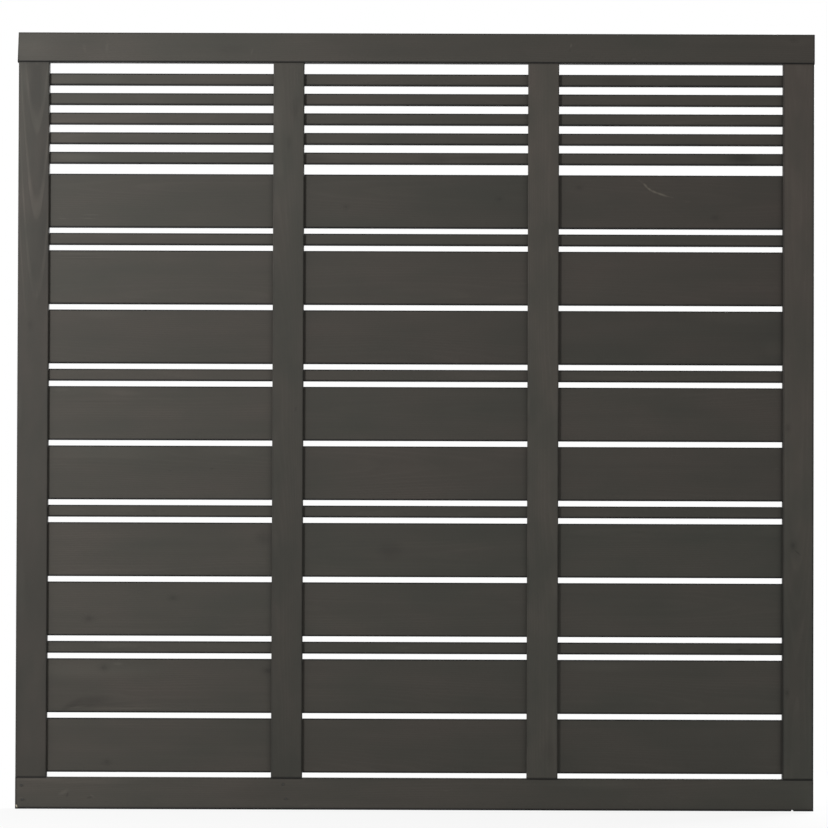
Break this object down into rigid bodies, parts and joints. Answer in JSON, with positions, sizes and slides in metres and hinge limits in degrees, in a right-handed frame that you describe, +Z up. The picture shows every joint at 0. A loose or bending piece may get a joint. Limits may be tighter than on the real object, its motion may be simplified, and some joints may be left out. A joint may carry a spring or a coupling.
{
  "type": "wooden privacy fence panel",
  "caption": "Framed wooden privacy fence panel: horizontal wide boards and narrow slats let into uprights in bays, painted dark grey, hung between posts.",
  "frame": {"origin": "middle of the left stile's outer face, which meets the post", "axes": "+X along the panel to the right stile, +Y through the thickness to the back, +Z up"},
  "size_m": [1.804, 0.034, 1.755],
  "materials": {
    "frame_timber": "matt paint",
    "board_timber": "matt paint"
  },
  "bodies": {
    "root": {"top_rail": "frame_timber", "bottom_rail": "frame_timber", "left_stile": "frame_timber", "mid_left_stile": "frame_timber", "mid_right_stile": "frame_timber", "right_stile": "frame_timber", "wide_board_1": "board_timber", "wide_board_2": "board_timber", "wide_board_3": "board_timber", "wide_board_4": "board_timber", "wide_board_5": "board_timber", "wide_board_6": "board_timber", "wide_board_7": "board_timber", "wide_board_8": "board_timber", "wide_board_9": "board_timber", "narrow_slat_1": "board_timber", "narrow_slat_2": "board_timber", "narrow_slat_3": "board_timber", "narrow_slat_4": "board_timber", "narrow_slat_5": "board_timber", "narrow_slat_6": "board_timber", "narrow_slat_7": "board_timber", "narrow_slat_8": "board_timber", "narrow_slat_9": "board_timber"}
  },
  "joints": []
}
